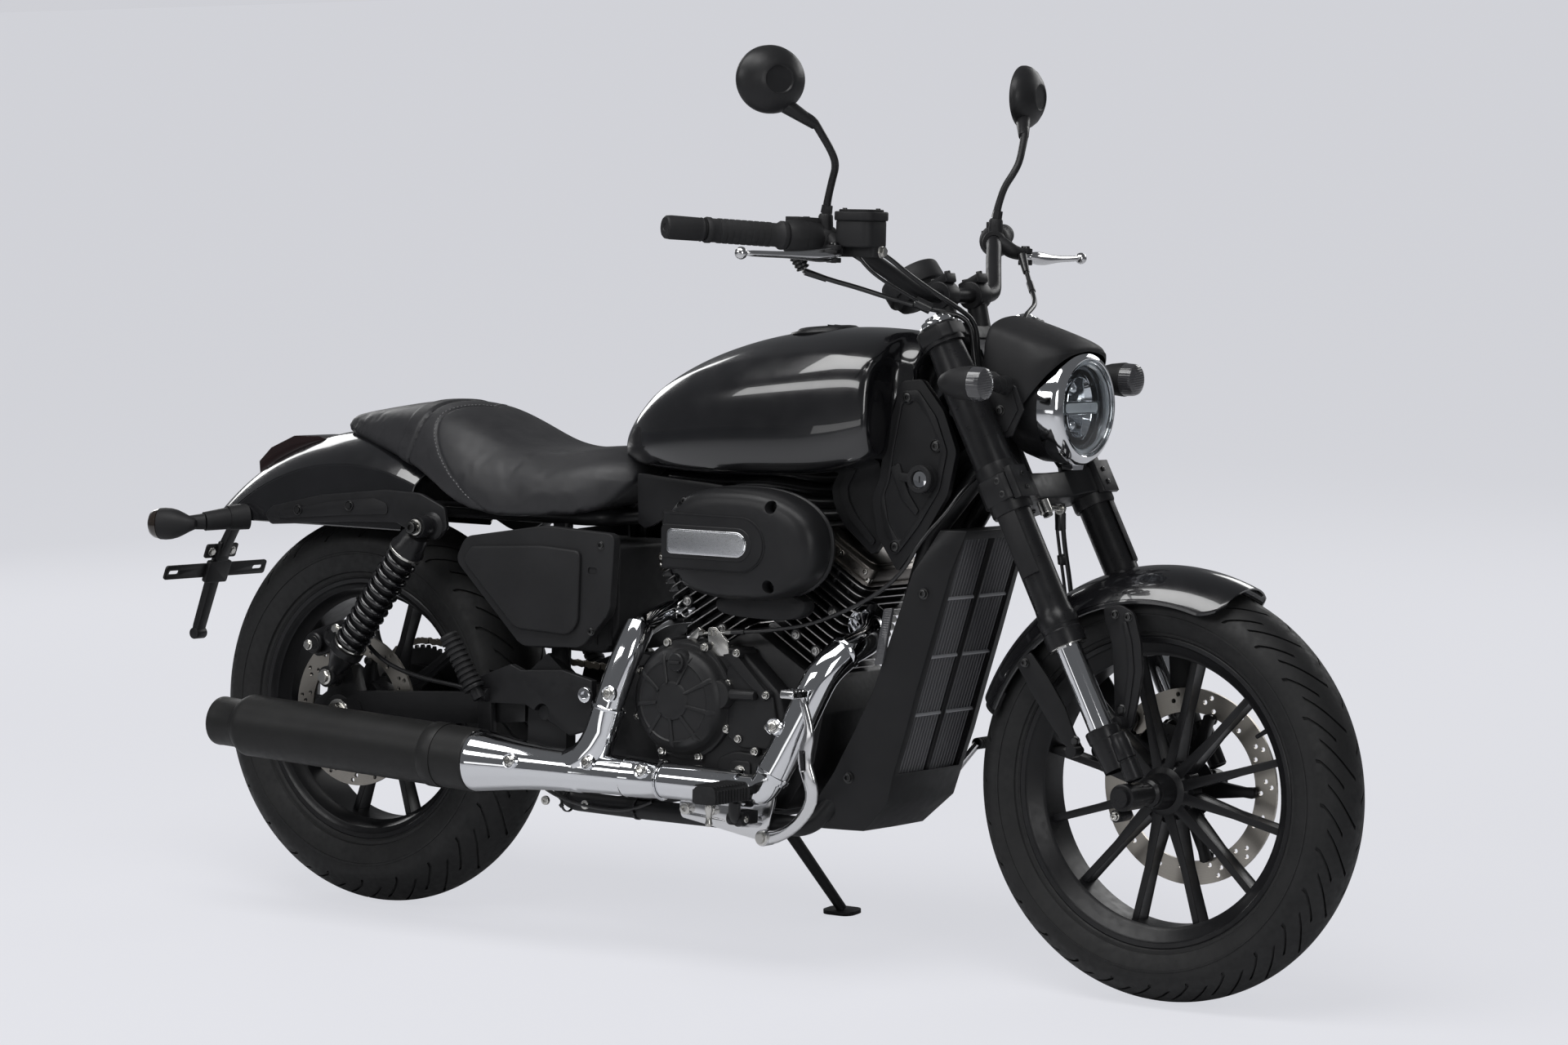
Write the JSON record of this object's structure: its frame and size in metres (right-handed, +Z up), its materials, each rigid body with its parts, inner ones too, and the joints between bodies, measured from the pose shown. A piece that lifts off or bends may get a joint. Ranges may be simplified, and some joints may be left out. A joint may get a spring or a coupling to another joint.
{
  "type": "cruiser motorcycle",
  "caption": "Low two-wheeled cruiser with raked fork, wide bar, teardrop tank, stepped soft seat, vee engine, side exhaust and cast wheels, leaning on its side stand.",
  "frame": {"origin": "on the ground, at the centre of the footprint of the whole bike as it stands leaning on its side stand", "axes": "+X forward, +Y towards the bike's left, +Z up; the bike leans 5 degrees towards +Y"},
  "size_m": [2.1474, 0.9026, 1.3564],
  "materials": {
    "tyre_rubber": "matte",
    "wheel_black": "satin",
    "disc_steel": "brushed",
    "gloss_black": "gloss",
    "satin_black": "satin",
    "machined_black": "satin",
    "bright_chrome": "polished",
    "alloy_silver": "satin",
    "caliper_black": "satin",
    "lens_clear": "clear",
    "reflector_bright": "polished",
    "lens_smoke": "gloss",
    "plastic_black": "matte",
    "core_black": "matte",
    "chain_steel": "satin",
    "seat_vinyl": "soft satin",
    "peg_rubber": "matte"
  },
  "bodies": {
    "chassis": {"crankcase": "satin_black", "engine_covers": "machined_black", "front_cylinder": "machined_black", "rear_cylinder": "machined_black", "intake_body": "plastic_black", "air_cleaner": "plastic_black", "frame_spine": "satin_black", "frame_downtubes": "satin_black", "frame_lower_rails": "satin_black", "frame_uprights": "satin_black", "swingarm": "satin_black", "rear_fender": "gloss_black", "fender_struts": "satin_black", "rear_shocks": "satin_black", "tail_lamp": "lens_smoke", "rear_signals": "plastic_black", "plate_bracket": "plastic_black", "rear_caliper": "caliper_black", "chain": "chain_steel", "fuel_tank": "gloss_black", "seat": "seat_vinyl", "side_covers": "gloss_black", "battery_case": "plastic_black", "headstock_panels": "plastic_black", "radiator_shroud": "plastic_black", "radiator": "core_black", "exhaust_headers": "bright_chrome", "muffler": "satin_black", "passenger_brackets": "satin_black", "foot_controls": "alloy_silver", "foot_pegs": "peg_rubber"},
    "steering": {"fork_clamps": "satin_black", "fork_tubes": "satin_black", "fork_stanchions": "bright_chrome", "fork_feet": "satin_black", "front_caliper": "caliper_black", "front_fender": "gloss_black", "headlight_shell": "satin_black", "headlight_bezel": "bright_chrome", "headlight_glass": "lens_clear", "headlight_reflector": "reflector_bright", "cowl": "gloss_black", "headlight_brackets": "satin_black", "front_signals": "plastic_black", "handlebar": "satin_black", "bar_controls": "plastic_black", "levers": "alloy_silver", "mirrors": "plastic_black", "instrument": "plastic_black"},
    "front_wheel": {"front_tyre": "tyre_rubber", "front_rim": "wheel_black", "front_disc": "disc_steel"},
    "rear_wheel": {"rear_tyre": "tyre_rubber", "rear_rim": "wheel_black", "rear_disc": "disc_steel"},
    "side_stand": {"side_stand": "satin_black"}
  },
  "joints": [
    {"name": "steering_turn", "type": "hinge", "parent": "chassis", "child": "steering", "pos_m": [0.73484, -0.06648, 0.27747], "axis": [-0.4617, 0.0773, 0.8837], "range_deg": [-35, 35]},
    {"name": "front_wheel_spin", "type": "hinge", "parent": "steering", "child": "front_wheel", "pos_m": [0.77474, -0.06467, 0.29819], "axis": [0, 0.9962, -0.0872], "continuous": true},
    {"name": "rear_wheel_spin", "type": "hinge", "parent": "chassis", "child": "rear_wheel", "pos_m": [-0.65826, -0.06371, 0.30915], "axis": [0, 0.9962, -0.0872], "continuous": true},
    {"name": "side_stand_swing", "type": "hinge", "parent": "chassis", "child": "side_stand", "pos_m": [-0.01976, 0.07093, 0.17289], "axis": [0, 0.9345, 0.3559], "range_deg": [0, 95]}
  ]
}
